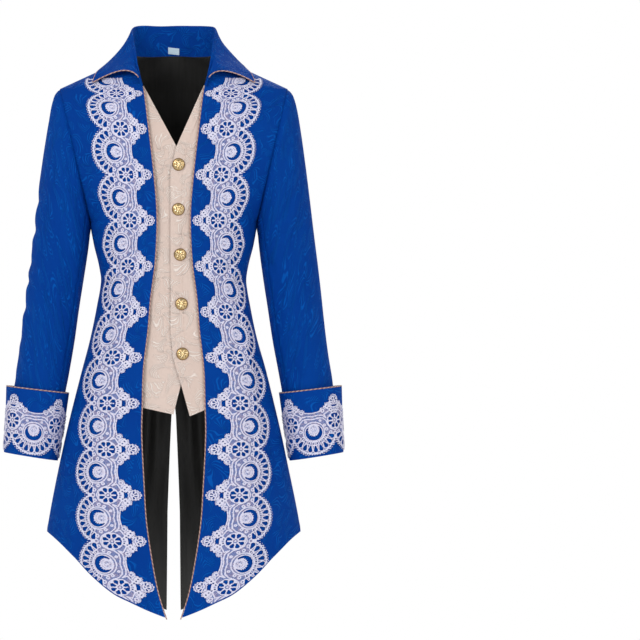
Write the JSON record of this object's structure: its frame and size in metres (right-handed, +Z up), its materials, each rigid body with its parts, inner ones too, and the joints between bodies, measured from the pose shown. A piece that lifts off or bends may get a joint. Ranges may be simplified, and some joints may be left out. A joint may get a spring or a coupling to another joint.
{
  "type": "tailcoat",
  "caption": "Long royal-blue tailcoat with wide fall collar, lace bands on fronts and turned-back cuffs, rose piping, cream vest front with five dome buttons, and a fishtail hem.",
  "frame": {"origin": "between the shoulders in the middle of the neck seam, the place that the wearer carries", "axes": "+Z up along the coat's length, front faces -Y, +X to the wearer's left"},
  "size_m": [0.6134, 0.2554, 1.0664],
  "materials": {
    "blue_jacquard": "woven with a raised floral figure, soft sheen",
    "black_lining": "satin",
    "cream_brocade": "brocade",
    "lace": "corded lace",
    "piping": "satin cord",
    "gold_button": "polished relief",
    "label_cloth": "woven tape"
  },
  "bodies": {
    "root": {"front_left": "blue_jacquard", "back_left": "blue_jacquard", "side_back_left": "blue_jacquard", "top_sleeve_left": "blue_jacquard", "under_sleeve_left": "blue_jacquard", "cuff_left": "blue_jacquard", "lining_back_left": "black_lining", "lace_front_left": "lace", "lace_cuff_left": "lace", "piping_front_left": "piping", "piping_cuff_left": "piping", "vest_left": "cream_brocade", "front_right": "blue_jacquard", "back_right": "blue_jacquard", "side_back_right": "blue_jacquard", "top_sleeve_right": "blue_jacquard", "under_sleeve_right": "blue_jacquard", "cuff_right": "blue_jacquard", "lining_back_right": "black_lining", "lace_front_right": "lace", "lace_cuff_right": "lace", "piping_front_right": "piping", "piping_cuff_right": "piping", "vest_right": "cream_brocade", "collar": "blue_jacquard", "piping_collar": "piping", "label": "label_cloth", "button_1": "gold_button", "button_2": "gold_button", "button_3": "gold_button", "button_4": "gold_button", "button_5": "gold_button"}
  },
  "joints": []
}
